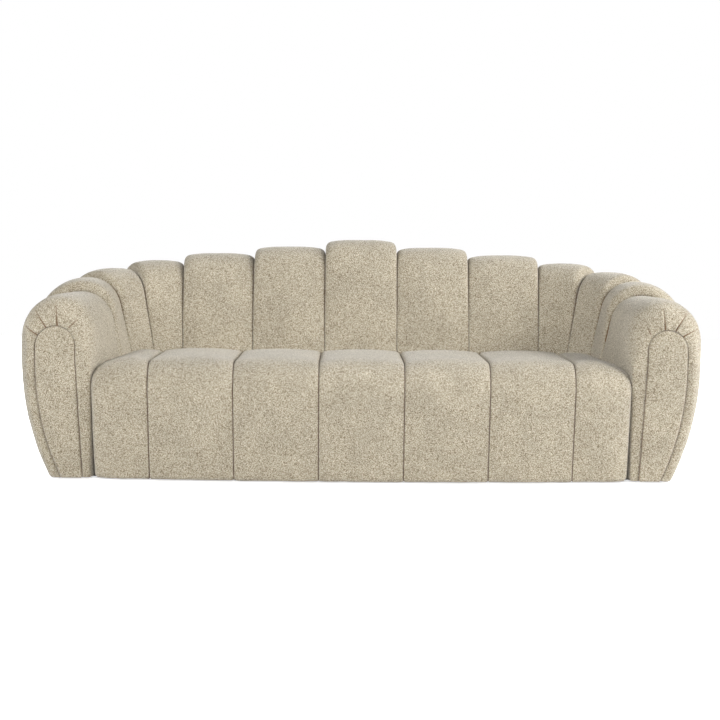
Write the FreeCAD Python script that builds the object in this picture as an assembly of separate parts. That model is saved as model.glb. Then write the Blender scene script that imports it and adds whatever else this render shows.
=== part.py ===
import FreeCAD, Part
import math
import os

from FreeCAD import Vector

# Curved channel sofa, sizes in millimetres.
# +X is right as seen from the front, -Y is the front, +Z is up, the floor is z = 0.
# The crest line is the plan of the top of the back and arms. s runs along it
# from the middle, n is measured across it, outward positive.

# Crest line in plan
back_straight = 660.0
corner_radius = 403.0
arm_straight = 325.0

# Heights
seat_height = 428.0
seat_fall = 14.0
back_height = 824.0
back_step = 27.5
arm_height = 642.0

# Section of the back and arms
back_reach = 195.0
arm_reach = 120.0
back_bulge = 135.0
arm_bulge = 125.0
foot_taper = 95.0
waist_height = 420.0
rake_start = 410.0
back_roll = 100.0
corner_roll = 124.0
corner_shift = 52.0
pad = 52.0
pad_foot = 28.0
pad_hem = 45.0
leg_bottom = 332.0

# Channels of the back and arms
wide_pitch = 272.0
wide_channels = 2
narrow_pitch = 211.0
narrow_channels = 3
seam_draw = 26.0
seam_round = 30.0
seam_gap = 0.4
channel_crown = 5.0
front_draw = 44.0
front_round = 62.0
front_drop = 53.0
front_drop_length = 120.0

# Seat channels
seat_overhang = 87.0
seat_half = 938.0
seat_pitch = 297.0
seat_full_channels = 5
front_bow = 45.0
front_roll = 120.0
front_lean = 22.0
front_pad = 48.0
hem_radius = 14.0
seat_draw = 15.0
seat_round = 26.0
side_draw = 40.0
side_round = 72.0
seat_crown = 6.0
side_fall = 24.0
side_fall_width = 190.0
hem_narrowing = 0.011

# Cover and fits
cover_thickness = 12.0
soft_gap = 0.3
fit = 0.4
reach_past = 3.0

# Frame
foot_clearance = 5.0
ply = 18.0
mid_plate_z = 177.0
top_plate_z = 424.0
plate_outer = 30.0
rail_height = 36.0
rail_half = 28.0
seat_rail_thickness = 23.0
deck_z = 315.0
facing_depth = 26.0
facing_proud = 5.0
facing_round = 13.0
panel_spacing = 300.0
side_panel_x = 830.0
block_size = 40.0
block_height = 110.0

# Springs and cloths
spring_count = 12
spring_spread = 740.0
spring_wire = 3.8
spring_half_bar = 12.0
spring_pitch = 24.0
clip_sheet = 1.2
clip_length = 22.0
tie_wire = 3.0
cloth = 1.2

# Feet and fasteners
glide_radius = 17.0
screw_radius = 2.5
screw_head_radius = 5.0
screw_head = 3.0
frame_screw_length = 55.0
glide_screw_bite = 15.0

# Derived places
corner_start = back_straight
corner_end = corner_start + corner_radius * math.pi / 2
arm_end = corner_end + arm_straight
arm_x = back_straight + corner_radius
crest_drop = corner_radius + arm_straight
depth = crest_drop + seat_overhang + back_bulge
crest_y = depth / 2 - back_bulge
corner_y = crest_y - corner_radius
arm_front_y = crest_y - crest_drop
seat_front_y = -depth / 2
front_radius = (seat_half ** 2 + front_bow ** 2) / (2 * front_bow)
front_centre_y = seat_front_y + front_radius
board_set_back = front_lean + front_pad + fit
wide_end = wide_pitch * (wide_channels + 0.5)
last_channel = wide_channels + narrow_channels + 1
rail_end = wide_end + 2 * narrow_pitch
back_cavity = back_reach - pad - fit
arm_cavity = arm_reach - pad - fit
rail_inner = back_cavity + seat_rail_thickness + fit
base_top = foot_clearance + ply
base_outer = arm_bulge - foot_taper - pad_hem - 2 * fit
facing_back = arm_end - facing_depth - fit
board_back = facing_back - ply - fit
clip_top = deck_z + 2 * clip_sheet + spring_wire + soft_gap
tie_z = deck_z + clip_sheet + spring_wire + soft_gap
cloth_z = max(tie_z + tie_wire, clip_top) + soft_gap
foam_z = cloth_z + cloth + soft_gap
glide_screw_end = foot_clearance + glide_screw_bite


def save(shape, name):
    shape.exportStep("parts/" + name + ".step")


def mirrored(shape):
    return shape.mirror(Vector(0, 0, 0), Vector(1, 0, 0))


def blend(value, start, end, first, last):
    share = min(max((value - start) / (end - start), 0.0), 1.0)
    return first + (last - first) * share


# Point of the crest line at s, and the outward direction there.
def crest(s):
    a = abs(s)
    side = 1.0 if s >= 0 else -1.0
    if a <= corner_start:
        return Vector(s, crest_y, 0), Vector(0, 1, 0)
    if a <= corner_end:
        turn = (a - corner_start) / corner_radius
        out = Vector(side * math.sin(turn), math.cos(turn), 0)
        return Vector(side * back_straight, corner_y, 0) + out * corner_radius, out
    return Vector(side * arm_x, corner_y - (a - corner_end), 0), Vector(side, 0, 0)


def at(s, n, z):
    point, out = crest(s)
    place = point + out * n
    return Vector(place.x, place.y, z)


def line(a, b):
    return Part.makeLine(a, b)


def arc(a, b, c):
    return Part.Arc(a, b, c).toShape()


def solid_loft(wires):
    return Part.makeLoft(wires, True, False, False, 3)


def closed_prism(edges, height):
    wire = Part.Wire(Part.__sortEdges__(edges))
    return Part.Face(wire).extrude(Vector(0, 0, height))


# Distances from a seam and the inset there: a quarter ellipse in three steps
# that ends lower than the channel's middle by its crown.
def rounding(width, draw, crown):
    steps = []
    for k in range(4):
        angle = math.radians(30 * k)
        steps.append((width * (1 - math.cos(angle)), crown + draw * (1 - math.sin(angle))))
    return steps


def channel_height(index):
    if index == last_channel:
        return arm_height
    return back_height - back_step * index


def channel_ends(index):
    if index == 0:
        return -wide_pitch / 2, wide_pitch / 2
    if index <= wide_channels:
        return wide_pitch * (index - 0.5), wide_pitch * (index + 0.5)
    start = wide_end + narrow_pitch * (index - wide_channels - 1)
    return start, arm_end if index == last_channel else start + narrow_pitch


# Share of the arm's front edge that the rounding has dropped or drawn in.
def front_share(s, length):
    left = min(max((arm_end - s) / length, 0.0), 1.0)
    return 1 - math.sqrt(1 - (1 - left) ** 2)


# Radius of the inner round of the top, and how far inward the top lies.
def top_roll(a):
    if a > corner_end:
        return blend(a, corner_end, arm_end, corner_roll, arm_reach)
    return blend(a, 0.0, corner_end, back_roll, corner_roll)


def top_shift(a):
    if a > corner_end:
        return blend(a, corner_end, arm_end, corner_shift, 0.0)
    return blend(a, corner_start, corner_end, 0.0, corner_shift)


# Outline of one section, inner foot to outer foot: for each corner and arc
# middle the place, the way inward, the share of the seam draw and the share
# of a pad's thickness.
def section_points(index, s, legs, foot_z):
    arm = index == last_channel
    a = abs(s)
    height = channel_height(index)
    if arm:
        height -= front_drop * front_share(a, front_drop_length)
    reach = blend(a, corner_end, arm_end, back_reach, arm_reach)
    bulge = blend(a, corner_start, corner_end, back_bulge, arm_bulge)
    roll = top_roll(a)
    top = -top_shift(a)
    outer = bulge - top
    rise = height - roll - rake_start
    slant = math.hypot(reach + top, rise)
    rake = math.acos(min(roll / slant, 1.0)) - math.atan2(rise, reach + top)
    roll_z = height - roll
    half = (math.pi / 2 + rake) / 2
    curve = ((waist_height - foot_z) ** 2 + foot_taper ** 2) / (2 * foot_taper)
    mid_z = (waist_height + foot_z) / 2
    mid_n = bulge - curve + math.sqrt(curve ** 2 - (waist_height - mid_z) ** 2)
    foot = pad_foot / pad
    hem = pad_hem / pad
    slope = math.sqrt(0.5)
    cos_b, sin_b = math.cos(rake), math.sin(rake)
    cos_m, sin_m = math.cos(half), math.sin(half)
    return [
        ((-reach, legs), (1, 0), 0.05, foot if arm else 1.0),
        ((-reach, rake_start), (1, 0), 0.06, 1.0),
        ((top - roll * cos_b, roll_z + roll * sin_b), (cos_b, -sin_b), 0.7, 1.0),
        ((top - roll * cos_m, roll_z + roll * sin_m), (cos_m, -sin_m), 1.0, 1.0),
        ((top, height), (0, -1), 1.0, 1.0),
        ((top + outer * slope, height - outer + outer * slope), (-slope, -slope), 1.0, 1.0),
        ((bulge, height - outer), (-1, 0), 0.9, 1.0),
        ((bulge, waist_height), (-1, 0), 0.8, 1.0),
        ((mid_n, mid_z), (-1, 0), 0.65, (1 + hem) / 2),
        ((bulge - foot_taper, foot_z), (-1, 0), 0.5, hem),
    ]


# Corners of the section's outline after the seam draw and a pad's inset, set
# up at the given place along the crest line.
def inset_points(index, s, draw, inset, legs, foot_z, place):
    corners = []
    for (n, z), (dn, dz), draw_share, pad_share in section_points(index, s, legs, foot_z):
        amount = draw * draw_share + inset * pad_share
        corners.append(at(place, n + dn * amount, z + dz * amount))
    return corners


def outline_edges(p):
    return [
        line(p[0], p[1]),
        line(p[1], p[2]),
        arc(p[2], p[3], p[4]),
        arc(p[4], p[5], p[6]),
        line(p[6], p[7]),
        arc(p[7], p[8], p[9]),
    ]


def reversed_edges(p):
    return [
        arc(p[9], p[8], p[7]),
        line(p[7], p[6]),
        arc(p[6], p[5], p[4]),
        arc(p[4], p[3], p[2]),
        line(p[2], p[1]),
        line(p[1], p[0]),
    ]


# Band over the frame between two insets of the section's outline.
def band_wire(index, s, draw, outer, inner, drop):
    legs = foot_clearance if index == last_channel else leg_bottom
    p = inset_points(index, s, draw, outer, legs - drop, foot_clearance - drop, s)
    q = inset_points(index, s, 0.0, inner, legs - drop, foot_clearance - drop, s)
    edges = outline_edges(p) + [line(p[9], q[9])] + reversed_edges(q) + [line(q[0], p[0])]
    return Part.Wire(edges)


def closed_wire(index, s, inset, place):
    p = inset_points(index, s, 0.0, inset, foot_clearance, foot_clearance, place)
    return Part.Wire(outline_edges(p) + [line(p[9], p[0])])


def channel_middle(index):
    start, end = channel_ends(index)
    if index == last_channel:
        return (start + seam_round + end - front_round) / 2
    return (start + end) / 2


# Stations along a channel between its seams, with the seam draw at each.
def stations(index, trim):
    start, end = channel_ends(index)
    start += seam_gap / 2 + trim
    end -= trim if index == last_channel else seam_gap / 2 + trim
    steps = rounding(seam_round, seam_draw, channel_crown)
    places = [(start + along, draw) for along, draw in steps]
    places.append((channel_middle(index), 0.0))
    if index == last_channel:
        for left in (0.66, 0.4, 0.2, 0.07, 0.0):
            s = end - front_drop_length * left
            places.append((s, front_draw * front_share(s + trim, front_round)))
        return places
    return places + [(end - along, draw) for along, draw in reversed(steps)]


def channel_band(index, trim, outer, inner, drop):
    wires = []
    for s, draw in stations(index, trim):
        wires.append(band_wire(index, s, draw, outer, inner, drop))
    return solid_loft(wires)


def channel_cover(index):
    whole = channel_band(index, 0.0, 0.0, pad, 0.0)
    hollow = channel_band(index, cover_thickness, cover_thickness, pad + reach_past, reach_past)
    return whole.cut(hollow)


def channel_foam(index):
    skin = cover_thickness + soft_gap
    return channel_band(index, skin, skin, pad, 0.0)


# Edges of the crest line moved across by n, between two places along it.
def plan_edges(n, s_from, s_to, z):
    marks = [-corner_end, -corner_start, corner_start, corner_end]
    stops = [s_from] + [m for m in marks if s_from < m < s_to] + [s_to]
    edges = []
    for a, b in zip(stops, stops[1:]):
        middle = (a + b) / 2
        if corner_start < abs(middle) < corner_end:
            edges.append(arc(at(a, n, z), at(middle, n, z), at(b, n, z)))
        else:
            edges.append(line(at(a, n, z), at(b, n, z)))
    return edges


def plan_band(n_in, n_out, s_from, s_to, z, height):
    edges = plan_edges(n_in, s_from, s_to, z) + plan_edges(n_out, s_from, s_to, z)
    edges.append(line(at(s_from, n_in, z), at(s_from, n_out, z)))
    edges.append(line(at(s_to, n_in, z), at(s_to, n_out, z)))
    return closed_prism(edges, height)


# Everything in front of the crest line moved across by n.
def plan_inside(n, z, height):
    ahead = seat_front_y - back_reach
    left, right = at(-corner_end, n, z), at(corner_end, n, z)
    front_left, front_right = Vector(left.x, ahead, z), Vector(right.x, ahead, z)
    edges = plan_edges(n, -corner_end, corner_end, z)
    edges += [line(right, front_right), line(front_right, front_left), line(front_left, left)]
    return closed_prism(edges, height)


# Space of the seat: inside the back, the narrowing arms and out past the front.
def seat_space():
    n = -(back_reach + soft_gap)
    z = -reach_past
    ahead = seat_front_y - back_reach
    edges = plan_edges(n, -corner_end, corner_end, z)
    for side in (1, -1):
        bend = at(side * corner_end, n, z)
        mouth = at(side * arm_end, -(arm_reach + soft_gap), z)
        front = Vector(mouth.x, ahead, z)
        edges += [line(bend, mouth), line(mouth, front)]
    far = at(arm_end, -(arm_reach + soft_gap), z).x
    edges.append(line(Vector(far, ahead, z), Vector(-far, ahead, z)))
    return closed_prism(edges, back_height)


def front_y(x, set_back):
    return front_centre_y - math.sqrt((front_radius - set_back) ** 2 - x ** 2)


# Everything behind the bowed front line moved back by set_back.
def behind_front(set_back, half, z, height):
    far = crest_y
    a = Vector(-half, front_y(half, set_back), z)
    b = Vector(0, front_y(0, set_back), z)
    c = Vector(half, front_y(half, set_back), z)
    edges = [arc(a, b, c), line(c, Vector(half, far, z))]
    edges += [line(Vector(half, far, z), Vector(-half, far, z)), line(Vector(-half, far, z), a)]
    return closed_prism(edges, height)


# How far the seat has fallen towards the arm at x.
def arm_fall(x):
    share = blend(abs(x), seat_half - side_fall_width, seat_half, 0.0, 1.0)
    return side_fall * share ** 2


# Section of a seat channel at x: top, front roll, front, hem, then inside.
# Corners are set back from the bowed front line, which narrows to the hem.
def seat_wire(x, draw, inset, past):
    top = seat_height - draw - inset - arm_fall(x)
    low = foot_clearance - past
    face = 0.55 * draw + inset
    radius = front_roll - 0.8 * draw - inset
    knee = seat_height - front_roll
    hem = face + front_lean
    slope = math.sqrt(0.5)
    inner = front_lean + front_pad + past
    corner = hem_radius * (1 - slope)
    corners = [
        (face + radius, top),
        (face + radius * (1 - slope), knee + (top - knee) * slope),
        (face, knee),
        (hem, low + hem_radius),
        (hem + corner, low + corner),
        (hem + hem_radius, low),
        (inner, low),
        (inner, foam_z - past),
    ]
    p = []
    for set_back, z in corners:
        across = seat_x(x, z)
        p.append(Vector(across, front_y(across, 0.0) + set_back, z))
    back_low = Vector(seat_x(x, foam_z - past), crest_y, foam_z - past)
    back_top = Vector(seat_x(x, top - seat_fall), crest_y, top - seat_fall)
    return Part.Wire([
        line(back_top, p[0]),
        arc(p[0], p[1], p[2]),
        line(p[2], p[3]),
        arc(p[3], p[4], p[5]),
        line(p[5], p[6]),
        line(p[6], p[7]),
        line(p[7], back_low),
        line(back_low, back_top),
    ])


def seat_x(x, z):
    return x * (1 - hem_narrowing * (1 - z / seat_height))


# Seat channels count from the middle: 0, 1, 2 and the narrower end channel 3.
def seat_ends(index):
    end_index = (seat_full_channels + 1) // 2
    start = seat_pitch * (index - 0.5)
    if index == end_index:
        return start, seat_half, True
    return start, start + seat_pitch, False


def seat_loft(index, trim, inset, past):
    start, end, at_arm = seat_ends(index)
    start += seam_gap / 2 + trim
    end -= seam_gap / 2 + trim
    near = rounding(seat_round, seat_draw, seat_crown)
    far = rounding(side_round, side_draw, seat_crown) if at_arm else near
    wires = [seat_wire(start + along, draw, inset, past) for along, draw in near]
    wires.append(seat_wire((start + near[-1][0] + end - far[-1][0]) / 2, 0.0, inset, past))
    wires += [seat_wire(end - along, draw, inset, past) for along, draw in reversed(far)]
    return solid_loft(wires)


def seat_cover(index, space):
    whole = seat_loft(index, 0.0, 0.0, 0.0)
    hollow = seat_loft(index, cover_thickness, cover_thickness, reach_past)
    return whole.cut(hollow).common(space)


def seat_foam(index, space):
    skin = cover_thickness + soft_gap
    return seat_loft(index, skin, skin, 0.0).common(space)


def rail_ends(index):
    start, end = channel_ends(index)
    if index == last_channel:
        end -= front_drop_length
    return start + reach_past, end - reach_past


# Place across the crest line of the middle of a channel's rail.
def rail_place(index):
    start, end = rail_ends(index)
    return -(top_shift(abs(start)) + top_shift(abs(end))) / 2


# Top of the crest rail, under the round of the foam at the rail's edges.
def rail_top(index):
    tops = []
    for s in rail_ends(index):
        points = section_points(index, s, leg_bottom, foot_clearance)
        (top, height), (bulge, low) = points[4][0], points[6][0]
        off = abs(rail_place(index) - top) + rail_half
        for radius in (top_roll(abs(s)), bulge - top):
            tops.append(height - radius + math.sqrt((radius - pad) ** 2 - off ** 2))
    return min(tops) - 2 * fit


def crest_rail(index):
    start, end = rail_ends(index)
    n = rail_place(index)
    z = rail_top(index) - rail_height
    return plan_band(n - rail_half, n + rail_half, start, end, z, rail_height)


# Flat plate standing across the crest line at s.
def cross_plate(s, n_in, n_out, z, height, thickness):
    point, out = crest(s)
    along = Vector(out.y, -out.x, 0)
    p = [at(s, n, z) - along * (thickness / 2) for n in (n_in, n_out)]
    corners = [p[0], p[1], p[1] + Vector(0, 0, height), p[0] + Vector(0, 0, height)]
    return Part.Face(Part.makePolygon(corners + corners[:1])).extrude(along * thickness)


plates = [
    (foot_clearance, -(arm_reach - pad_foot - 2 * fit), base_outer),
    (mid_plate_z, -arm_cavity, plate_outer),
    (top_plate_z, -arm_cavity, plate_outer),
]


def lap(n_in, n_out):
    return (max(n_in, -back_cavity) + n_out) / 2


# Upright at the middle of a channel, slotted over the two upper plates.
def rib(index):
    s = channel_middle(index)
    point, out = crest(s)
    along = Vector(out.y, -out.x, 0)
    face = Part.Face(closed_wire(index, s + ply / 2, pad + fit, s))
    body = face.extrude(along * ply)
    body.translate(along * (-ply / 2))
    top = rail_top(index) - rail_height
    body = body.common(cross_plate(s, -back_reach, back_bulge, base_top, top - base_top, 2 * ply))
    for z, n_in, n_out in plates[1:]:
        slot = cross_plate(s, -back_reach, lap(n_in, n_out), z - fit / 2, ply + fit, 2 * ply)
        body = body.cut(slot)
    for n in rib_screw_places(index):
        body = body.cut(rib_screw_hole(s, n))
    return body


def rib_screw_places(index):
    z, n_in, n_out = plates[0]
    quarter = (n_out - n_in) / 4
    return n_in + quarter, n_out - quarter


def rib_screw_hole(s, n):
    z = foot_clearance + screw_head + fit
    return Part.makeCylinder(screw_radius + fit / 4, frame_screw_length + fit, at(s, n, z))


def rib_screw(s, n):
    z = foot_clearance + fit
    head = Part.makeCylinder(screw_head_radius, screw_head, at(s, n, z))
    shank = Part.makeCylinder(screw_radius, frame_screw_length, at(s, n, z + screw_head - fit))
    return head.fuse(shank).removeSplitter()


def rib_places():
    places = []
    for index in range(last_channel + 1):
        s = channel_middle(index)
        places += [(index, s)] if index == 0 else [(index, s), (index, -s)]
    return places


# Curved plate round the back and arms: wide behind the seat, narrow in the arms.
def curved_plate(z, n_in, n_out):
    body = plan_band(n_in, n_out, -board_back, board_back, z, ply)
    inner_part = plan_band(-rail_inner, (n_in + n_out) / 2, -rail_end, rail_end, z, ply)
    return body.fuse(inner_part).removeSplitter()


def base_plate():
    z, n_in, n_out = plates[0]
    body = curved_plate(z, n_in, n_out)
    for index, s in rib_places():
        for n in rib_screw_places(index):
            head_hole = Part.makeCylinder(screw_head_radius + fit, screw_head + fit, at(s, n, z))
            body = body.cut(head_hole).cut(rib_screw_hole(s, n))
    for x, y in shell_glides():
        body = body.cut(glide_screw_hole(x, y))
    return body


def slotted_plate(level):
    z, n_in, n_out = plates[level]
    body = curved_plate(z, n_in, n_out) if level == 1 else plan_band(
        n_in, n_out, -board_back, board_back, z, ply)
    for index, s in rib_places():
        start = lap(n_in, n_out) - fit
        slot = cross_plate(s, start, back_bulge, z - reach_past, ply + 2 * reach_past, ply + fit)
        body = body.cut(slot)
    return body


def seat_back_rail():
    height = deck_z - mid_plate_z - ply
    return plan_band(-rail_inner, -back_cavity - fit, -rail_end, rail_end, mid_plate_z + ply, height)


def front_board():
    height = deck_z - foot_clearance
    whole = behind_front(board_set_back, seat_half - side_round, foot_clearance, height)
    rest = behind_front(board_set_back + ply, seat_half, foot_clearance - fit, height + 2 * fit)
    return whole.cut(rest)


# Panel from front to back under the seat, at x.
def panel(x):
    height = deck_z - foot_clearance
    body = Part.makeBox(ply, depth, height, Vector(x - ply / 2, seat_front_y, foot_clearance))
    body = body.common(behind_front(board_set_back + ply + fit, seat_half, foot_clearance, height))
    body = body.common(plan_inside(-rail_inner - fit, foot_clearance, height))
    return body.cut(glide_screw_hole(*panel_glide(x)))


def corner_blocks():
    blocks = []
    for x in panel_places():
        z = deck_z - block_height - spring_wire
        inner = -1 if x > 0 else 1
        a = x + inner * (ply / 2 + fit)
        b = a + inner * block_size
        y = front_y(max(abs(a), abs(b)), board_set_back + ply + fit)
        corners = [Vector(a, y, z), Vector(b, y, z), Vector(a, y + block_size, z)]
        blocks.append(Part.Face(Part.makePolygon(corners + corners[:1])).extrude(Vector(0, 0, block_height)))
    return blocks


def panel_places():
    return [-side_panel_x, -panel_spacing, panel_spacing, side_panel_x]


# Depth of the crest line moved across by n, at x.
def back_line_y(x, n):
    if abs(x) <= back_straight:
        return crest_y + n
    return corner_y + math.sqrt((corner_radius + n) ** 2 - (abs(x) - back_straight) ** 2)


def spring_places():
    step = 2 * spring_spread / (spring_count - 1)
    return [-spring_spread + step * k for k in range(spring_count)]


def spring_ends(x):
    front = front_y(x, board_set_back + ply / 2)
    return front, back_line_y(x, -(rail_inner + back_cavity + fit) / 2)


# Flat zigzag wire from the front board to the back rail.
def spring(x):
    start, end = spring_ends(x)
    bars = 2 * int((end - start) / (2 * spring_pitch)) + 1
    step = (end - start) / (bars - 1)
    z = deck_z + clip_sheet + soft_gap / 2 + spring_wire / 2
    edges = []
    side = 1
    for k in range(bars):
        y = start + step * k
        near = Vector(x - side * spring_half_bar, y, z)
        far = Vector(x + side * spring_half_bar, y, z)
        edges.append(line(near, far))
        if k < bars - 1:
            turn = far + Vector(side * step / 2, step / 2, 0)
            edges.append(arc(far, turn, far + Vector(0, step, 0)))
        side = -side
    first = Vector(x - spring_half_bar, start, z)
    ring = Part.Wire(Part.makeCircle(spring_wire / 2, first, Vector(1, 0, 0)))
    sweep = Part.BRepOffsetAPI.MakePipeShell(Part.Wire(edges))
    sweep.add(ring)
    sweep.build()
    sweep.makeSolid()
    return sweep.shape()


# Folded clip over the end bar of a spring; facing is the way it opens.
def clip(x, y, facing):
    height = clip_top - deck_z
    half = spring_wire / 2 + soft_gap
    outline = [
        (half + 3, 0), (-half - clip_sheet, 0), (-half - clip_sheet, height), (half, height),
        (half, height - clip_sheet), (-half, height - clip_sheet), (-half, clip_sheet),
        (half + 3, clip_sheet),
    ]
    left = x - clip_length / 2
    corners = [Vector(left, y + facing * a, deck_z + b) for a, b in outline]
    return Part.Face(Part.makePolygon(corners + corners[:1])).extrude(Vector(clip_length, 0, 0))


def spring_clips():
    clips = []
    for x in spring_places():
        start, end = spring_ends(x)
        clips += [clip(x, start, 1), clip(x, end, -1)]
    return clips


def tie_wires():
    length = 2 * (spring_spread + spring_half_bar + spring_pitch / 2)
    front, back = spring_ends(spring_spread)
    wires = []
    for share in (0.33, 0.67):
        y = front + (back - front) * share
        place = Vector(-length / 2, y, tie_z + tie_wire / 2)
        wires.append(Part.makeCylinder(tie_wire / 2, length, place, Vector(1, 0, 0)))
    return wires


def deck_cloth():
    half = side_panel_x + ply
    sheet = behind_front(board_set_back + fit, half, cloth_z, cloth)
    return sheet.common(plan_inside(-back_cavity - fit, cloth_z - fit, cloth + 2 * fit))


def facing(index):
    wires = [closed_wire(index, arm_end, pad + 2 * soft_gap, arm_end - facing_depth)]
    for along, draw in reversed(rounding(facing_round, facing_round, 0.0)):
        s = arm_end + facing_proud - along
        wires.append(closed_wire(index, arm_end, pad + 2 * soft_gap + draw, s))
    return solid_loft(wires)


def facing_board(index):
    face = Part.Face(closed_wire(index, arm_end, pad + fit, facing_back))
    return face.extrude(Vector(0, ply, 0))


def shell_glides():
    z, n_in, n_out = plates[0]
    middle = (n_in + n_out) / 2
    places = []
    for s in (wide_pitch, wide_end + narrow_pitch, board_back - glide_radius * 1.5):
        for side in (1, -1):
            place = at(side * s, middle, 0)
            places.append((place.x, place.y))
    return places


def panel_glide(x):
    return x, front_y(x, board_set_back + ply) + 2 * glide_radius


def glide_places():
    return shell_glides() + [panel_glide(x) for x in panel_places()]


def glide_screw_hole(x, y):
    return Part.makeCylinder(screw_radius + fit / 4, glide_screw_end, Vector(x, y, 0))


def glide_height():
    return foot_clearance - cloth - soft_gap


def glide(x, y):
    height = glide_height()
    body = Part.makeCylinder(glide_radius, height, Vector(x, y, 0))
    body = body.makeFillet(height / 3, [body.Edges[2]])
    head_hole = Part.makeCylinder(screw_head_radius + fit, height / 2, Vector(x, y, 0))
    return body.cut(head_hole).cut(glide_screw_hole(x, y))


def glide_screw(x, y):
    top = glide_height() / 2
    head = Part.makeCylinder(screw_head_radius, screw_head / 2, Vector(x, y, top - screw_head / 2))
    shank = Part.makeCylinder(screw_radius, glide_screw_end - top - fit, Vector(x, y, top))
    return head.fuse(shank).removeSplitter()


# Cloth closing the underside, from the back plate to the front board.
def dust_cover():
    z = foot_clearance - cloth
    base_z, n_in, n_out = plates[0]
    sheet = plan_inside(n_out - glide_radius / 2, z, cloth)
    sheet = sheet.common(behind_front(board_set_back, arm_x, z - fit, cloth + 2 * fit))
    arm_strip = behind_front(board_set_back, seat_half - side_round, z - fit, cloth + 2 * fit)
    back_part = Part.makeBox(2 * arm_x, depth, cloth, Vector(-arm_x, arm_front_y + pad, z))
    sheet = sheet.common(arm_strip.fuse(back_part))
    for x, y in glide_places():
        sheet = sheet.cut(glide_screw_hole(x, y))
    return sheet


def side_name(stem, index, side):
    return stem + "_" + side + "_" + str(index)


os.makedirs("parts", exist_ok=True)

space = seat_space()
back_foams = []
rails = []
for index in range(last_channel + 1):
    cover, foam = channel_cover(index), channel_foam(index)
    upright, rail = rib(index), crest_rail(index)
    back_foams.append(foam)
    rails.append(rail)
    if index == 0:
        save(cover, "back_cover_middle")
        save(upright, "rib_middle")
        continue
    save(cover, side_name("back_cover", index, "right"))
    save(mirrored(cover), side_name("back_cover", index, "left"))
    save(upright, side_name("rib", index, "right"))
    save(mirrored(upright), side_name("rib", index, "left"))
    back_foams.append(mirrored(foam))
    rails.append(mirrored(rail))
save(Part.makeCompound(back_foams), "back_channel_foams")
save(Part.makeCompound(rails), "crest_rails")

seat_foams = []
for index in range((seat_full_channels + 1) // 2 + 1):
    cover, foam = seat_cover(index, space), seat_foam(index, space)
    seat_foams.append(foam)
    if index == 0:
        save(cover, "seat_cover_middle")
        continue
    save(cover, side_name("seat_cover", index, "right"))
    save(mirrored(cover), side_name("seat_cover", index, "left"))
    seat_foams.append(mirrored(foam))
save(Part.makeCompound(seat_foams), "seat_channel_foams")

for name, shape in (
    ("arm_facing", facing(last_channel)),
    ("arm_facing_board", facing_board(last_channel)),
):
    save(shape, name + "_right")
    save(mirrored(shape), name + "_left")

save(base_plate(), "base_plate")
save(slotted_plate(1), "seat_level_plate")
save(slotted_plate(2), "arm_level_plate")
save(seat_back_rail(), "seat_back_rail")
save(front_board(), "seat_front_board")
for name, x in (("side_panel", side_panel_x), ("seat_bearer", panel_spacing)):
    save(panel(x), name + "_right")
    save(panel(-x), name + "_left")
save(Part.makeCompound(corner_blocks()), "corner_blocks")

save(Part.makeCompound([spring(x) for x in spring_places()]), "seat_springs")
save(Part.makeCompound(spring_clips()), "spring_clips")
save(Part.makeCompound(tie_wires()), "spring_tie_wires")
save(deck_cloth(), "spring_deck_cloth")
save(dust_cover(), "dust_cover")

save(Part.makeCompound([glide(x, y) for x, y in glide_places()]), "floor_glides")
save(Part.makeCompound([glide_screw(x, y) for x, y in glide_places()]), "glide_screws")
screws = []
for index, s in rib_places():
    for n in rib_screw_places(index):
        screws.append(rib_screw(s, n))
save(Part.makeCompound(screws), "rib_screws")
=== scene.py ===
import math

import bmesh
import bpy
import numpy as np
from mathutils import Matrix, Vector, noise
from mathutils.bvhtree import BVHTree


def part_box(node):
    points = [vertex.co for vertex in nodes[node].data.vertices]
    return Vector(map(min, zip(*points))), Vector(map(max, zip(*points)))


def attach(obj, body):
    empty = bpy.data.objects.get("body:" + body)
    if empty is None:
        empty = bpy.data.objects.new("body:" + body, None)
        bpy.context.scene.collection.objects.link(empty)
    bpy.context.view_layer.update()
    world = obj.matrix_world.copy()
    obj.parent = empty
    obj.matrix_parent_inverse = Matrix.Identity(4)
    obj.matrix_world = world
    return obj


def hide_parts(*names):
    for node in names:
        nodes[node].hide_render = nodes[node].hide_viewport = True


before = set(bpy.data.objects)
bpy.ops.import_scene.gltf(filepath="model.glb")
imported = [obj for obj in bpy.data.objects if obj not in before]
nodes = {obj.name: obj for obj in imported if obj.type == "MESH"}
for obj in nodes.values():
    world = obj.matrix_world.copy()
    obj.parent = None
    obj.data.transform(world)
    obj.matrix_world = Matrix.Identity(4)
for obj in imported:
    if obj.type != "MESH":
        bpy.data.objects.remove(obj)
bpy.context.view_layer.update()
scene = bpy.context.scene
print("frame loaded:", len(nodes), "nodes")


# a socket that takes part in shader maths
class Wire:
    def __init__(self, finish, socket):
        self.finish = finish
        self.socket = socket

    def maths(self, operation, a, b):
        return self.finish.node("ShaderNodeMath", {"operation": operation}, {0: a, 1: b})

    def __add__(self, other):
        return self.maths("ADD", self, other)

    def __sub__(self, other):
        return self.maths("SUBTRACT", self, other)

    def __rsub__(self, other):
        return self.maths("SUBTRACT", other, self)

    def __mul__(self, other):
        return self.maths("MULTIPLY", self, other)

    __radd__ = __add__
    __rmul__ = __mul__


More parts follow.
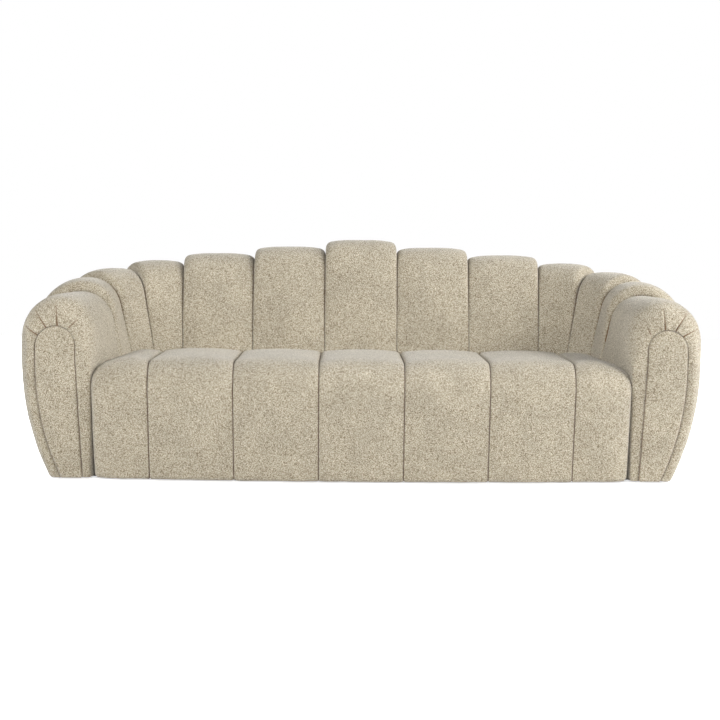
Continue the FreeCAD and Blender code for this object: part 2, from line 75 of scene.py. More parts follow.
class Nodes:
    def __init__(self, tree):
        self.tree = tree

    # a node's type, its settings, then the values or links of its sockets
    def node(self, kind, settings=None, sockets=None, out=0):
        fresh = self.tree.nodes.new(kind)
        for key, value in (settings or {}).items():
            if key == "stops":
                self.setStops(fresh.color_ramp, value)
            else:
                setattr(fresh, key, value)
        for key, value in (sockets or {}).items():
            self.plug(fresh.inputs[key], value)
        return Wire(self, fresh.outputs[out])

    def setStops(self, ramp, stops):
        while len(ramp.elements) < len(stops):
            ramp.elements.new(0.5)
        for element, (position, colour) in zip(ramp.elements, stops):
            element.position = position
            element.color = (*colour, 1)

    def plug(self, socket, value):
        if isinstance(value, Wire):
            self.tree.links.new(value.socket, socket)
        else:
            socket.default_value = value

    def ramp(self, value, positions, colours):
        stops = list(zip(positions, colours))
        return self.node("ShaderNodeValToRGB", {"stops": stops}, {"Fac": value})

    def mix(self, share, first, second):
        first = first if isinstance(first, Wire) else (*first, 1)
        second = second if isinstance(second, Wire) else (*second, 1)
        return self.node("ShaderNodeMix", {"data_type": "RGBA"}, {0: share, 6: first, 7: second}, 2)

    def cloud(self, vector, scale, detail=2.0, roughness=0.5, distortion=0.0, out=0):
        sockets = {"Vector": vector, "Scale": scale, "Detail": detail,
                   "Roughness": roughness, "Distortion": distortion}
        return self.node("ShaderNodeTexNoise", None, sockets, out)

    def spread(self, value, low, high, first=0.0, last=1.0):
        sockets = {"Value": value, "From Min": low, "From Max": high,
                   "To Min": first, "To Max": last}
        return self.node("ShaderNodeMapRange", {"interpolation_type": "SMOOTHSTEP"}, sockets)

    # rays that show the backdrop: straight, mirrored or through glass
    def seen(self):
        kinds = ("Is Camera Ray", "Is Glossy Ray", "Is Transmission Ray")
        straight, mirrored, through = (self.node("ShaderNodeLightPath", out=kind) for kind in kinds)
        return straight.maths("MAXIMUM", straight, straight.maths("MAXIMUM", mirrored, through))


class Finish(Nodes):
    def __init__(self, name):
        self.material = bpy.data.materials.new(name)
        self.material.use_nodes = True
        super().__init__(self.material.node_tree)
        self.shader = self.tree.nodes["Principled BSDF"]
        self.place = self.node("ShaderNodeTexCoord", out="Object")

    def feed(self, name, value):
        self.plug(self.shader.inputs[name], value)

    def stretched(self, scale):
        return self.node("ShaderNodeMapping", None, {"Vector": self.place, "Scale": scale})

    def emboss(self, height, look):
        sockets = {"Height": height, "Strength": look["bump"], "Distance": look["bumpDepth"]}
        self.feed("Normal", self.node("ShaderNodeBump", None, sockets))


noiseRange = (0.3, 0.7)  # most values of a noise texture lie between these

boucleLook = {
    "cream": (0.760, 0.708, 0.580),
    "oatmeal": (0.500, 0.448, 0.346),
    "taupe": (0.215, 0.172, 0.110),
    "stops": (0.50, 0.64, 0.80),
    "roughness": 0.95,
    "sheen": 0.38,
    "sheenRoughness": 0.5,
    "gloss": 0.15,
    "wanderScale": 90.0,
    "wander": (0.012, 0.012, 0.012),
    "loopScale": 330.0,
    "loopShare": 0.45,
    "curls": {"scale": 540.0, "detail": 3.0, "roughness": 0.6, "distortion": 1.4},
    "curlShare": 0.75,
    "patches": {"scale": 9.0, "detail": 3.0},
    "patchTones": (0.93, 1.04),
    # brown of seams and pleat folds: partly seam colour, partly painted groove shade
    "seamBrownAndShade": (0.150, 0.070, 0.020),
    "seamGaps": (0.0008, 0.0042),
    "seamShare": 0.92,
    "bump": 0.75,
    "bumpDepth": 0.0022,
}


# looped cloth: light loops, dark hollows, brown where two covers meet, which is partly the seam's own
# colour and partly painted shade in the seam and pleat grooves
def boucleFinish():
    look = boucleLook
    cloth = Finish("boucle")
    drift = cloth.cloud(cloth.place, look["wanderScale"], out="Color")
    bent = cloth.node("ShaderNodeVectorMath", {"operation": "MULTIPLY_ADD"},
                      {0: drift, 1: look["wander"], 2: cloth.place})
    loops = cloth.node("ShaderNodeTexVoronoi", {"feature": "F1"},
                       {"Vector": bent, "Scale": look["loopScale"], "Randomness": 1.0})
    curls = cloth.cloud(bent, **look["curls"])
    height = (1 - loops) * look["loopShare"] + curls * look["curlShare"]
    shade = cloth.ramp(height, look["stops"], (look["taupe"], look["oatmeal"], look["cream"]))
    patch = cloth.spread(cloth.cloud(cloth.place, **look["patches"]), *noiseRange, *look["patchTones"])
    toned = cloth.node("ShaderNodeVectorMath", {"operation": "SCALE"}, {0: shade, "Scale": patch})
    # painted shade, partly seam colour: brown mixed into the base colour where the gap attribute is
    # small, along seams and pleat folds
    gap = cloth.node("ShaderNodeAttribute", {"attribute_name": "gap"}, out="Fac")
    sewnAndShaded = cloth.spread(gap, *look["seamGaps"], look["seamShare"], 0.0)
    cloth.feed("Base Color", cloth.mix(sewnAndShaded, toned, look["seamBrownAndShade"]))
    cloth.feed("Roughness", look["roughness"])
    cloth.feed("Sheen Weight", look["sheen"])
    cloth.feed("Sheen Roughness", look["sheenRoughness"])
    cloth.feed("Specular IOR Level", look["gloss"])
    cloth.emboss(height, look)
    return cloth.material


woodLooks = {
    "plywood": {"pale": (0.62, 0.46, 0.28), "dark": (0.40, 0.26, 0.13), "run": (3.0, 26.0, 60.0)},
    "beech": {"pale": (0.60, 0.39, 0.24), "dark": (0.42, 0.24, 0.13), "run": (4.0, 40.0, 40.0)},
}
woodGrain = {
    "grain": {"scale": 3.0, "detail": 6.0, "roughness": 0.62, "distortion": 0.6},
    "fleckRun": (30.0, 260.0, 260.0),
    "fleckScale": 1.6,
    "fleckShare": 0.25,
    "stops": (0.32, 0.66),
    "rough": (0.68, 0.5),
    "bump": 0.25,
    "bumpDepth": 0.0008,
}


def woodFinish(name):
    look = {**woodGrain, **woodLooks[name]}
    wood = Finish(name)
    grain = wood.cloud(wood.stretched(look["run"]), **look["grain"])
    flecks = wood.cloud(wood.stretched(look["fleckRun"]), look["fleckScale"])
    fibre = grain * (1 - look["fleckShare"]) + flecks * look["fleckShare"]
    wood.feed("Base Color", wood.ramp(fibre, look["stops"], (look["dark"], look["pale"])))
    wood.feed("Roughness", wood.spread(fibre, *noiseRange, *look["rough"]))
    wood.emboss(fibre, look)
    return wood.material


metalLooks = {
    "spring_steel": {"bright": (0.34, 0.34, 0.35), "dull": (0.20, 0.19, 0.19), "rough": (0.30, 0.48)},
    "zinc_steel": {"bright": (0.66, 0.67, 0.69), "dull": (0.48, 0.49, 0.52), "rough": (0.24, 0.44)},
}
metalSmears = {
    "smears": {"scale": 120.0, "detail": 4.0, "roughness": 0.6},
    "stops": (0.35, 0.65),
    "bump": 0.12,
    "bumpDepth": 0.0003,
}


def metalFinish(name):
    look = {**metalSmears, **metalLooks[name]}
    metal = Finish(name)
    metal.feed("Metallic", 1.0)
    smears = metal.cloud(metal.place, **look["smears"])
    metal.feed("Base Color", metal.ramp(smears, look["stops"], (look["dull"], look["bright"])))
    metal.feed("Roughness", metal.spread(smears, *noiseRange, *look["rough"]))
    metal.emboss(smears, look)
    return metal.material


clothLooks = {
    "deck_cloth": {"light": (0.40, 0.36, 0.29), "dark": (0.24, 0.21, 0.16), "threadScale": 45.0},
    "dust_cloth": {"light": (0.060, 0.060, 0.064), "dark": (0.025, 0.025, 0.028), "threadScale": 35.0},
}
clothWeave = {
    "threadWander": 0.6,
    "fluff": {"scale": 240.0, "detail": 3.0},
    "fluffShare": 0.5,
    "stops": (0.2, 0.7),
    "roughness": 0.9,
    "bump": 0.3,
    "bumpDepth": 0.0006,
}


def clothFinish(name):
    look = {**clothWeave, **clothLooks[name]}
    cloth = Finish(name)
    bands = []
    for direction in ("X", "Y"):
        settings = {"wave_type": "BANDS", "bands_direction": direction}
        sockets = {"Vector": cloth.place, "Scale": look["threadScale"],
                   "Distortion": look["threadWander"]}
        bands.append(cloth.node("ShaderNodeTexWave", settings, sockets, "Fac"))
    weave = bands[0] * bands[1]
    fluff = cloth.cloud(cloth.place, **look["fluff"])
    tone = weave * (1 - look["fluffShare"]) + fluff * look["fluffShare"]
    cloth.feed("Base Color", cloth.ramp(tone, look["stops"], (look["dark"], look["light"])))
    cloth.feed("Roughness", look["roughness"])
    cloth.emboss(tone, look)
    return cloth.material


glideLook = {
    "light": (0.075, 0.070, 0.066),
    "dark": (0.040, 0.038, 0.036),
    "specks": {"scale": 700.0, "detail": 3.0},
    "rough": (0.40, 0.56),
    "bump": 0.2,
    "bumpDepth": 0.0002,
}


def glideFinish():
    look = glideLook
    plastic = Finish("glide_plastic")
    specks = plastic.cloud(plastic.place, **look["specks"])
    plastic.feed("Base Color", plastic.ramp(specks, noiseRange, (look["dark"], look["light"])))
    plastic.feed("Roughness", plastic.spread(specks, *noiseRange, *look["rough"]))
    plastic.emboss(specks, look)
    return plastic.material


finishes = {"boucle": boucleFinish(), "glide_plastic": glideFinish()}
finishes.update({name: woodFinish(name) for name in woodLooks})
finishes.update({name: metalFinish(name) for name in metalLooks})
finishes.update({name: clothFinish(name) for name in clothLooks})

# by the start of a node's name, and the first that fits counts
finishOfNode = {
    "rib_screws": "zinc_steel", "rib_": "plywood", "arm_facing_board": "plywood",
    "base_plate": "plywood", "seat_level_plate": "plywood", "arm_level_plate": "plywood",
    "seat_front_board": "plywood", "side_panel": "plywood", "crest_rails": "beech",
    "seat_back_rail": "beech", "seat_bearer": "plywood", "corner_blocks": "beech",
    "seat_springs": "spring_steel", "spring_tie_wires": "spring_steel",
    "spring_clips": "zinc_steel", "glide_screws": "zinc_steel",
    "spring_deck_cloth": "deck_cloth", "dust_cover": "dust_cloth",
    "floor_glides": "glide_plastic",
}


def dressNodes():
    for name, node in nodes.items():
        start = next((key for key in finishOfNode if name.startswith(key)), None)
        if start:
            node.data.materials.clear()
            node.data.materials.append(finishes[finishOfNode[start]])


dressNodes()
print("finishes made:", len(finishes))


tiny = 1e-6  # shorter lengths count as none


def newPiece(name, mesh):
    piece = bpy.data.objects.new(name, mesh)
    scene.collection.objects.link(piece)
    return piece


# the mesh with its modifiers, in place of its own
def settle(piece):
    graph = bpy.context.evaluated_depsgraph_get()
    mesh = bpy.data.meshes.new_from_object(piece.evaluated_get(graph))
    piece.modifiers.clear()
    piece.data = mesh


def readPlaces(mesh):
    flat = np.zeros(len(mesh.vertices) * 3)
    mesh.vertices.foreach_get("co", flat)
    return flat.reshape(-1, 3)


def writePlaces(mesh, places):
    mesh.vertices.foreach_set("co", places.ravel())
    mesh.update()


def ease(piece, times, factor):
    bm = bmesh.new()
    bm.from_mesh(piece.data)
    for _ in range(times):
        bmesh.ops.smooth_vert(bm, verts=bm.verts, factor=factor, use_axis_x=True,
                              use_axis_y=True, use_axis_z=True)
    bm.to_mesh(piece.data)
    bm.free()


def clamped(value):
    return min(max(value, 0.0), 1.0)


# a node's separate solids, each as a mesh
def looseParts(name):
    bm = bmesh.new()
    bm.from_mesh(nodes[name].data)
    bmesh.ops.remove_doubles(bm, verts=bm.verts, dist=tiny)
    parts = []
    left = set(bm.faces)
    while left:
        stack = [left.pop()]
        part = set(stack)
        while stack:
            for edge in stack.pop().edges:
                fresh = [face for face in edge.link_faces if face in left]
                left.difference_update(fresh)
                part.update(fresh)
                stack += fresh
        parts.append(part)
    meshes = []
    for part in parts:
        only = bm.copy()
        keep = {face.index for face in part}
        only.faces.ensure_lookup_table()
        drop = [face for face in only.faces if face.index not in keep]
        bmesh.ops.delete(only, geom=drop, context="FACES")
        mesh = bpy.data.meshes.new(name)
        only.to_mesh(mesh)
        only.free()
        meshes.append(mesh)
    bm.free()
    return meshes


def centreOf(mesh):
    places = np.array([v.co for v in mesh.vertices])
    return Vector((places.min(0) + places.max(0)) / 2)


def treeOf(name):
    bm = bmesh.new()
    bm.from_mesh(nodes[name].data)
    tree = BVHTree.FromBMesh(bm)
    bm.free()
    return tree


backFoam = "back_channel_foams"
seatFoam = "seat_channel_foams"
foams = [mesh for name in (backFoam, seatFoam) for mesh in looseParts(name)]
foamCentres = [centreOf(mesh) for mesh in foams]
skins = [name for name in nodes if "cover_" in name or name.startswith("arm_facing_")]
skins = [name for name in skins if "board" not in name]
skinTrees = {name: treeOf(name) for name in skins}  # a search gives place, normal, face, distance
skinBoxes = {name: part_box(name) for name in skins}
print("soft solids:", len(skins), "covers,", len(foams), "foams")


def foamOf(cover):
    middle = centreOf(nodes[cover].data)
    return foams[min(range(len(foams)), key=lambda i: (foamCentres[i] - middle).length)]


# centre line and radius of a form with a round top
def roundTop(name):
    low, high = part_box(name)
    radius = (high.x - low.x) / 2
    return Vector(((low.x + high.x) / 2, 0, high.z - radius)), radius


backPad = {"voxel": 0.0080, "pressure": 4.0, "cap": 0.005, "ease": 3, "ripple": 0.0011}
seatPad = {"voxel": 0.0080, "pressure": 4.0, "cap": 0.006, "ease": 3, "ripple": 0.0013}
armPad = {"voxel": 0.0070, "pressure": 4.0, "cap": 0.004, "ease": 3, "ripple": 0.0011}
facingPad = {"voxel": 0.0050, "pressure": 4.0, "cap": 0.003, "ease": 3, "ripple": 0.0006}
padding = []  # a row for each piece, with its foam's node and the facing let into it


def addPadding(name, cover, pad, foam, inset=None):
    padding.append({"name": name, "cover": cover, "pad": pad, "foam": foam, "inset": inset})


# the middle and the right side, which is mirrored later
addPadding("backChannel_middle", "back_cover_middle", backPad, backFoam)
addPadding("seatChannel_middle", "seat_cover_middle", seatPad, seatFoam)
for k in (1, 2, 3, 4, 5):
    addPadding(f"backChannel_right_{k}", f"back_cover_right_{k}", backPad, backFoam)
for k in (1, 2, 3):
    addPadding(f"seatChannel_right_{k}", f"seat_cover_right_{k}", seatPad, seatFoam)
addPadding("armRoll_right", "back_cover_right_6", armPad, backFoam, "arm_facing_right")
addPadding("armFacing_right", "arm_facing_right", facingPad, None)

lipFiller = {"wider": 1.12, "back": 0.009}


# a larger copy of the facing, set back, thickens the lip of the arch
def addLipFiller(bm, facing):
    middle, _ = roundTop(facing)
    bm.from_mesh(nodes[facing].data)
    start = len(bm.verts)
    bm.from_mesh(nodes[facing].data)
    bm.verts.ensure_lookup_table()
    copy = bm.verts[start:]
    space = Matrix.Translation(-middle)
    bmesh.ops.scale(bm, vec=(lipFiller["wider"], 1, 1), verts=copy, space=space)
    arch = [v for v in copy if v.co.z > middle.z]
    bmesh.ops.scale(bm, vec=(1, 1, lipFiller["wider"]), verts=arch, space=space)
    bmesh.ops.translate(bm, vec=(0, lipFiller["back"], 0), verts=copy)


easing = {"blank": 0.5, "snapped": 0.3, "puffed": 0.4}
snapReach = 0.008


# cover and foam as one closed form of even faces
def stuffedBlank(row):
    bm = bmesh.new()
    bm.from_mesh(nodes[row["cover"]].data)
    if row["foam"]:
        bm.from_mesh(foamOf(row["cover"]))
    if row["inset"]:
        addLipFiller(bm, row["inset"])
    bmesh.ops.remove_doubles(bm, verts=bm.verts, dist=tiny)
    mesh = bpy.data.meshes.new(row["name"])
    bm.to_mesh(mesh)
    bm.free()
    piece = newPiece(row["name"], mesh)
    remesh = piece.modifiers.new("even", "REMESH")
    remesh.mode = "VOXEL"
    remesh.voxel_size = row["pad"]["voxel"]
    settle(piece)
    ease(piece, row["pad"]["ease"], easing["blank"])
    snapToSkin(row, piece)
    ease(piece, 1, easing["snapped"])
    return piece


def skinsOf(row):
    return [row["cover"], row["inset"]] if row["inset"] else [row["cover"]]


# nearest point on these covers
def skinPoint(place, reach, *covers):
    hits = [skinTrees[name].find_nearest(place, reach) for name in covers]
    hits = [hit for hit in hits if hit[0] is not None]
    return min(hits, key=lambda hit: hit[3]) if hits else None


# points near the cover go back onto its face
def snapToSkin(row, piece):
    places = readPlaces(piece.data)
    for v in piece.data.vertices:
        hit = skinPoint(v.co, snapReach, *skinsOf(row))
        if hit:
            places[v.index] = hit[0]
    writePlaces(piece.data, places)


# distance to the nearest of the other covers
def gapAt(place, others, reach):
    near = reach
    for name in others:
        hit = skinTrees[name].find_nearest(place, reach)
        if hit[0] is not None:
            near = min(near, hit[3])
    return near


def gapsOf(row, piece, reach):
    places = readPlaces(piece.data)
    low, high = Vector(places.min(0)), Vector(places.max(0))
    others = []
    for name in skins:
        nextLow, nextHigh = skinBoxes[name]
        apart = max(max(nextLow[i] - high[i], low[i] - nextHigh[i]) for i in range(3))
        if name != row["cover"] and apart < reach:
            others.append(name)
    return np.array([gapAt(v.co, others, reach) for v in piece.data.vertices])


simulation = {"frames": 20, "quality": 2, "mass": 0.3, "stiffness": 12.0, "bending": 1.0}
# points keep still near a seam, away from the cover and at the hem
hold = {"reach": 0.04, "full": 0.006, "fade": 0.03, "onSkin": 0.009, "hem": 0.03}


def heldWeights(row, piece):
    gaps = gapsOf(row, piece, hold["reach"])
    weights = np.clip(1.0 - (gaps - hold["full"]) / hold["fade"], 0, 1)
    for v in piece.data.vertices:
        onSkin = skinPoint(v.co, hold["onSkin"], row["cover"])
        if not onSkin or v.co.z < hold["hem"]:
            weights[v.index] = 1.0
    return weights


def addCloth(row, piece):
    held = piece.vertex_groups.new(name="held")
    for index, weight in enumerate(heldWeights(row, piece)):
        held.add([index], float(weight), "REPLACE")
    cloth = piece.modifiers.new("puff", "CLOTH")
    settings = cloth.settings
    settings.quality = simulation["quality"]
    settings.mass = simulation["mass"]
    settings.use_pressure = True
    settings.uniform_pressure_force = row["pad"]["pressure"]
    settings.vertex_group_mass = "held"
    settings.tension_stiffness = simulation["stiffness"]
    settings.compression_stiffness = simulation["stiffness"]
    settings.bending_stiffness = simulation["bending"]
    settings.effector_weights.gravity = 0
    cloth.collision_settings.use_collision = False
    cloth.collision_settings.use_self_collision = False
    cloth.point_cache.frame_start = 1
    cloth.point_cache.frame_end = simulation["frames"]


# no point moves further than the pad's cap
def capMoves(piece, before, cap):
    moves = readPlaces(piece.data) - before
    lengths = np.linalg.norm(moves, axis=1, keepdims=True)
    capped = moves * np.minimum(1.0, cap / np.maximum(lengths, tiny))
    writePlaces(piece.data, before + capped)


def puffAll(pieces):
    before = {}
    for row, piece in pieces:
        before[piece.name] = readPlaces(piece.data)
        addCloth(row, piece)
    for number in range(1, simulation["frames"] + 1):
        scene.frame_set(number)
    for row, piece in pieces:
        settle(piece)
        capMoves(piece, before[piece.name], row["pad"]["cap"])
        piece.vertex_groups.clear()
        ease(piece, 1, easing["puffed"])
    scene.frame_set(1)


padded = [(row, stuffedBlank(row)) for row in padding]
print("blanks made:", len(padded), sum(len(piece.data.vertices) for _, piece in padded), "points")
puffAll(padded)
print("padding puffed")


def mirrorPiece(piece, name):
    bm = bmesh.new()
    bm.from_mesh(piece.data)
    bmesh.ops.scale(bm, vec=(-1, 1, 1), verts=bm.verts)
    bmesh.ops.reverse_faces(bm, faces=bm.faces)
    mesh = bpy.data.meshes.new(name)
    bm.to_mesh(mesh)
    bm.free()
    return newPiece(name, mesh)


def onLeft(name):
    return name and name.replace("_right", "_left")


for row, piece in list(padded):
    if "_right" in row["name"]:
        named = {key: onLeft(row[key]) for key in ("name", "cover", "inset")}
        padded.append(({**row, **named}, mirrorPiece(piece, named["name"])))
print("pieces with their mirror images:", len(padded))


ripples = {"broad": 11.0, "fine": 31.0, "fineShare": 0.45}


# slight unevenness of hand-stretched cloth
def rippleSkin(piece, depth):
    places = readPlaces(piece.data)
    for v in piece.data.vertices:
        broad = noise.noise(v.co * ripples["broad"])
        fine = noise.noise(v.co * ripples["fine"])
        places[v.index] += np.array(v.normal) * depth * (broad + ripples["fineShare"] * fine)
    writePlaces(piece.data, places)


# how far round the arch the faces are finer, and how far down its sides it is pleated
archZone = {"reach": 0.115, "back": 0.11, "below": 0.06, "pleatsBelow": 0.045}


def archOf(side):
    facing = "arm_facing_" + side
    centre, radius = roundTop(facing)
    centre.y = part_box(facing)[0].y
    return centre, radius


def nearArch(place, centre, radius):
    away = math.hypot(place.x - centre.x, place.z - centre.z)
    inFront = place.y < centre.y + archZone["back"]
    return inFront and away < radius + archZone["reach"] and place.z > centre.z - archZone["below"]


gapReach = 0.02  # wider gaps between covers count as this
# cuts across each face, the touch of two covers, and the gaps up to which points lie on their cover
seamCrisp = {"cuts": 2, "touch": 0.0013, "onSkin": 0.002, "full": 0.006, "none": 0.014, "lay": 0.006}


# faces along the visible edge of a seam
def alongSeam(face, gaps, cover):
    near = [gaps[v.index] for v in face.verts]
    if not min(near) < seamCrisp["touch"] < max(near):
        return False
    return all(skinPoint(v.co, seamCrisp["onSkin"], cover) for v in face.verts)


# finer faces along the seams and round the arch, laid back on the cover
def refineSeams(row, piece, arch):
    gaps = gapsOf(row, piece, gapReach)
    bm = bmesh.new()
    bm.from_mesh(piece.data)
    core = [face for face in bm.faces if alongSeam(face, gaps, row["cover"])]
    grown = {other for face in core for v in face.verts for other in v.link_faces}
    if arch:
        grown.update(face for face in bm.faces if nearArch(face.calc_center_median(), *arch))
    edges = [edge for edge in bm.edges if any(face in grown for face in edge.link_faces)]
    bmesh.ops.subdivide_edges(bm, edges=edges, cuts=seamCrisp["cuts"], use_grid_fill=True)
    bm.to_mesh(piece.data)
    bm.free()
    gaps = gapsOf(row, piece, gapReach)
    places = readPlaces(piece.data)
    for v in piece.data.vertices:
        share = (seamCrisp["none"] - gaps[v.index]) / (seamCrisp["none"] - seamCrisp["full"])
        hit = skinPoint(v.co, seamCrisp["lay"], *skinsOf(row)) if share > 0 else None
        if hit:
            places[v.index] += (np.array(hit[0]) - places[v.index]) * min(share, 1.0)
    writePlaces(piece.data, places)


# pleats gathered round the arch: angle from level, length, depth, drift of the angle
archPleats = {
    "left": [(119, 0.085, 0.0095, 3), (92, 0.080, 0.0085, 2), (64, 0.046, 0.0080, -8),
             (146, 0.070, 0.0060, 0)],
    "right": [(66, 0.088, 0.0095, -6), (90, 0.076, 0.0085, 2), (44, 0.066, 0.0070, -8),
              (127, 0.038, 0.0075, -4)],
}
# a pleat's width and taper, the swell beside it, and its brown line of painted fold shade, which thins
# to its end
pleatForm = {"width": 0.0045, "taper": 0.7, "swell": 0.45, "swellWidth": 2.4,
             "line": 0.0006, "aside": 0.8, "end": 0.0018}
gathers = {"count": 32, "depth": 0.0019, "start": 0.006, "length": 0.030,
           "wander": 2.2, "wanderScale": 40}


# how deep a pleat sinks a point, and the gap that gives its painted brown fold shade
def pleatAt(angle, away, along, pleat):
    start, length, depth, drift = pleat
    line = math.radians(start + drift * along / length)
    across = abs(angle - line) * away
    fade = max(0.0, 1 - along / length) ** pleatForm["taper"]
    if fade == 0:
        return 0.0, math.inf
    u = across / pleatForm["width"]
    swell = pleatForm["swell"] * math.exp(-((u / pleatForm["swellWidth"]) ** 2))
    # painted shade in the pleat's fold, passed on as a small gap for the brown mix
    gap = pleatForm["line"] + pleatForm["aside"] * across + pleatForm["end"] * (1 - fade)
    return depth * fade * (math.exp(-u * u) - swell), gap


def pleatArch(piece, side, gaps):
    centre, radius = archOf(side)
    places = readPlaces(piece.data)
    for v in piece.data.vertices:
        away = math.hypot(v.co.x - centre.x, v.co.z - centre.z)
        along = away - radius
        onArch = along >= 0 and v.co.z >= centre.z - archZone["pleatsBelow"]
        if not onArch or not nearArch(v.co, centre, radius):
            continue
        angle = math.atan2(v.co.z - centre.z, v.co.x - centre.x)
        sink = 0.0
        for pleat in archPleats[side]:
            deep, gap = pleatAt(angle, away, along, pleat)
            sink += deep
            gaps[v.index] = min(gaps[v.index], gap)
        bend = gathers["wander"] * noise.noise(v.co * gathers["wanderScale"])
        ripple = math.cos(angle * gathers["count"] + bend)
        sink += gathers["depth"] * ripple * math.exp(-along / gathers["length"])
        places[v.index] -= np.array(v.normal) * sink * min(along / gathers["start"], 1.0)
    writePlaces(piece.data, places)


letIn = {"deep": 0.022, "near": 0.02, "reach": 0.06, "rounds": 3}


# the arm's front goes back behind its facing, and its rim lies along the facing
def letFacingIn(row, piece):
    facing = skinTrees[row["inset"]]
    places = readPlaces(piece.data)
    inside = set()
    for v in piece.data.vertices:
        hit = facing.find_nearest(v.co, letIn["near"])
        own = skinPoint(v.co, letIn["reach"], row["cover"])
        if hit[0] is not None and (own is None or hit[3] < own[3]):
            inside.add(v.index)
    ends = [tuple(edge.vertices) for edge in piece.data.edges]
    rim = {a if b in inside else b for a, b in ends if (a in inside) != (b in inside)}
    for index in rim:
        place = Vector(places[index])
        for _ in range(letIn["rounds"]):
            place = facing.find_nearest(place)[0]
            place = skinPoint(place, letIn["reach"], row["cover"])[0]
        places[index] = place
    for index in inside:
        places[index][1] += letIn["deep"]
    writePlaces(piece.data, places)


# heights between which the seams grow fainter down the inside, and the last before each arm runs out
seamFade = {"back": (0.46, 0.60), "soften": 0.0030,
            "left": (0.55, 0.61), "right": (0.43, 0.48), "hide": 0.012, "inside": 0.03}
# wider painted shadow where a seam lies behind the next channel's bulge
seamShadowWiden = {"left": 0.0025, "right": 0.0045, "corner": 0.0025, "from": 4}
armLow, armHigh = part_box("back_cover_right_6")
armLine = (armLow.x + armHigh.x) / 2


# the cover across the last seam before the arm
def acrossLastSeam(row, side):
    fifth, sixth = (f"back_cover_{side}_{k}" for k in (5, 6))
    return {fifth: sixth, sixth: fifth}.get(row["cover"])


# 0 above the height where a fade starts, 1 below its end
def lowShare(z, end, start):
    return clamped((start - z) / (start - end))


def fadeSeams(row, piece, side, gaps):
    if not ("backChannel" in row["name"] or "armRoll" in row["name"]):
        return
    other = acrossLastSeam(row, side)
    number = row["cover"].rsplit("_", 1)[1]
    corner = number.isdigit() and int(number) >= seamShadowWiden["from"]
    usual = (seamFade["back"], seamFade["soften"], seamShadowWiden["corner"] if corner else 0.0)
    last = (seamFade[side], seamFade["hide"], seamShadowWiden[side])
    for v in piece.data.vertices:
        atArm = other and abs(v.co.x) < armLine + seamFade["inside"]
        heights, faint, deep = last if atArm and skinPoint(v.co, gapReach, other) else usual
        low = lowShare(v.co.z, *heights)
        # painted seam shade: fainter lower down, wider behind the next channel's bulge
        gaps[v.index] += low * faint - (1 - low) * deep


# where the last seam runs out, the padding closes its groove
grooveFill = {"side": "left", "deep": 0.012, "wide": 0.012, "reach": 0.05, "fade": 0.05,
              "towards": (0.95, -0.30, 0.0)}


def fillGroove(row, piece, side):
    other = acrossLastSeam(row, side)
    if side != grooveFill["side"] or not other:
        return
    places = readPlaces(piece.data)
    towards = np.array(grooveFill["towards"])
    for v in piece.data.vertices:
        hit = skinPoint(v.co, grooveFill["reach"], other)
        inner = clamped((armLine - abs(v.co.x)) / grooveFill["fade"])
        if hit and inner > 0:
            share = inner * lowShare(v.co.z, *seamFade[side])
            depth = grooveFill["deep"] * math.exp(-hit[3] / grooveFill["wide"])
            places[v.index] += towards * share * depth
    writePlaces(piece.data, places)


# the top of the arm stays full up to the side of the higher channel behind it
armEnd = {"lift": 0.022, "along": 0.014, "none": 0.45, "full": 0.85}


def raiseArmEnd(row, piece):
    axis, _ = roundTop(row["cover"])
    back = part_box(row["cover"])[1].y
    places = readPlaces(piece.data)
    for v in piece.data.vertices:
        out = Vector((v.co.x - axis.x, 0, v.co.z - axis.z)).normalized()
        share = clamped((out.z - armEnd["none"]) / (armEnd["full"] - armEnd["none"]))
        rise = share * armEnd["lift"] * math.exp(-max(back - v.co.y, 0.0) / armEnd["along"])
        places[v.index] += np.array(out) * rise
    writePlaces(piece.data, places)


# the seat's end swells against the arm, to a thin seam
seatEnd = {"clear": 0.0015, "most": 0.009, "full": 0.006, "reach": 0.016}


def closeSeatEnd(row, piece, side):
    if row["cover"] != f"seat_cover_{side}_3":
        return
    places = readPlaces(piece.data)
    for v in piece.data.vertices:
        hit = skinPoint(v.co, seatEnd["reach"], f"back_cover_{side}_6")
        if hit and hit[3] > seatEnd["clear"]:
            share = (seatEnd["reach"] - hit[3]) / (seatEnd["reach"] - seatEnd["full"])
            move = min(hit[3] - seatEnd["clear"], seatEnd["most"]) * min(share, 1.0)
            places[v.index] += np.array(hit[0] - v.co) / hit[3] * move
    writePlaces(piece.data, places)


def finishPiece(row, piece):
    side = "left" if "_left" in row["name"] else "right"
    arm = "armRoll" in row["name"]
    rippleSkin(piece, row["pad"]["ripple"])
    refineSeams(row, piece, archOf(side) if arm else None)
    closeSeatEnd(row, piece, side)
    if arm:
        raiseArmEnd(row, piece)
    gaps = gapsOf(row, piece, gapReach)
    fadeSeams(row, piece, side, gaps)
    fillGroove(row, piece, side)
    if arm:
        pleatArch(piece, side, gaps)
        letFacingIn(row, piece)
    # the gap attribute sets the boucle's brown seam colour and painted seam and fold shade
    layer = piece.data.attributes.new("gap", "FLOAT", "POINT")
    layer.data.foreach_set("value", gaps.astype(np.float32))
    piece.data.materials.clear()
    piece.data.materials.append(finishes["boucle"])
    piece.data.shade_smooth()
    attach(piece, "root")
    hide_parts(row["cover"])
    if row["foam"]:
        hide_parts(row["foam"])


for row, piece in padded:
    finishPiece(row, piece)
print("padded pieces finished:", len(padded))


# a pale floor that glows to white away from the sofa
stageLook = {"floorSize": 12.0, "floor": (0.86, 0.86, 0.86), "roughness": 0.9, "near": 1.8, "far": 4.5,
             "glowNear": (0.72, 0.72, 0.72), "glowFar": (1.0, 1.0, 1.0)}


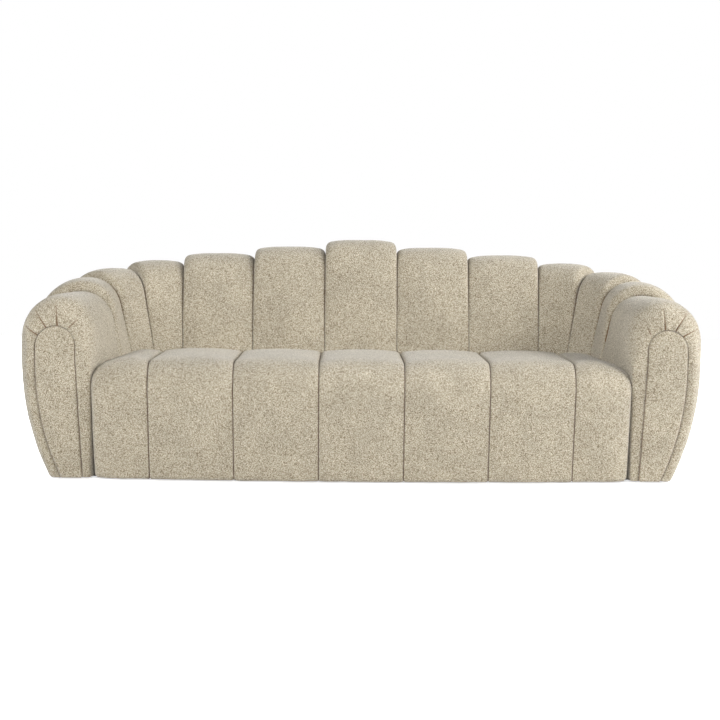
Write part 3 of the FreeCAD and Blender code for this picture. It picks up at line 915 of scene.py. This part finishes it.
def makeStage():
    bm = bmesh.new()
    bmesh.ops.create_grid(bm, x_segments=1, y_segments=1, size=stageLook["floorSize"] / 2)
    mesh = bpy.data.meshes.new("floor")
    bm.to_mesh(mesh)
    bm.free()
    floor = newPiece("floor", mesh)
    paint = Finish("floor")
    paint.feed("Base Color", (*stageLook["floor"], 1))
    paint.feed("Roughness", stageLook["roughness"])
    away = paint.node("ShaderNodeVectorMath", {"operation": "LENGTH"}, {0: paint.place}, "Value")
    reach = paint.spread(away, stageLook["near"], stageLook["far"])
    white = paint.mix(reach, stageLook["glowNear"], stageLook["glowFar"])
    glow = paint.node("ShaderNodeEmission", None, {"Color": white, "Strength": paint.seen()})
    sockets = {0: Wire(paint, paint.shader.outputs[0]), 1: glow}
    both = paint.node("ShaderNodeAddShader", None, sockets)
    paint.plug(paint.tree.nodes["Material Output"].inputs["Surface"], both)
    floor.data.materials.append(paint.material)


worldLook = {"fill": 0.10}


# white where it is seen, a faint fill light elsewhere
def makeWorld():
    world = bpy.data.worlds.new("studio")
    world.use_nodes = True
    scene.world = world
    sky = Nodes(world.node_tree)
    backdrop = sky.tree.nodes["Background"]
    backdrop.inputs["Color"].default_value = (1, 1, 1, 1)
    sky.plug(backdrop.inputs["Strength"], sky.spread(sky.seen(), 0.0, 1.0, worldLook["fill"], 1.0))


lampLooks = {
    "side": {"at": (5.0, -0.8, 3.0), "size": 3.0, "power": 385.0},
    "left": {"at": (-4.2, -4.0, 3.6), "size": 3.0, "power": 240.0},
    "front": {"at": (0.6, -6.0, 1.6), "size": 3.0, "power": 130.0},
    "rear": {"at": (-1.0, 6.0, 1.8), "size": 3.0, "power": 290.0},
}
lampTarget = Vector((0, 0, 0.4))


def makeLamps():
    for name, look in lampLooks.items():
        lamp = bpy.data.lights.new(name, "AREA")
        lamp.energy = look["power"]
        lamp.size = look["size"]
        holder = bpy.data.objects.new(name, lamp)
        holder.location = look["at"]
        aim = lampTarget - Vector(look["at"])
        holder.rotation_euler = aim.to_track_quat("-Z", "Y").to_euler()
        scene.collection.objects.link(holder)


# angles in degrees, and the lens and its sensor in millimetres
cameraLook = {"at": (-0.058, -6.683, 0.9897), "down": 5.125, "aside": 0.487, "roll": 0.481,
              "lens": 91.0, "sensor": 36.0, "shift": -0.00085}


def makeCamera():
    lens = bpy.data.cameras.new("camera")
    lens.lens = cameraLook["lens"]
    lens.sensor_width = cameraLook["sensor"]
    lens.shift_x = cameraLook["shift"]
    camera = bpy.data.objects.new("camera", lens)
    tilt = Matrix.Rotation(math.radians(90 - cameraLook["down"]), 4, "X")
    roll = Matrix.Rotation(math.radians(cameraLook["roll"]), 4, "Z")
    turn = Matrix.Rotation(math.radians(-cameraLook["aside"]), 4, "Z")
    camera.matrix_world = Matrix.Translation(cameraLook["at"]) @ turn @ tilt @ roll
    scene.collection.objects.link(camera)
    scene.camera = camera


makeStage()
makeWorld()
makeLamps()
makeCamera()
scene.view_settings.view_transform = "Standard"
print("stage, light and camera set")

shown = [obj for obj in scene.objects if obj.type == "MESH" and not obj.hide_render]
print("triangles:", sum(len(face.vertices) - 2 for obj in shown for face in obj.data.polygons))
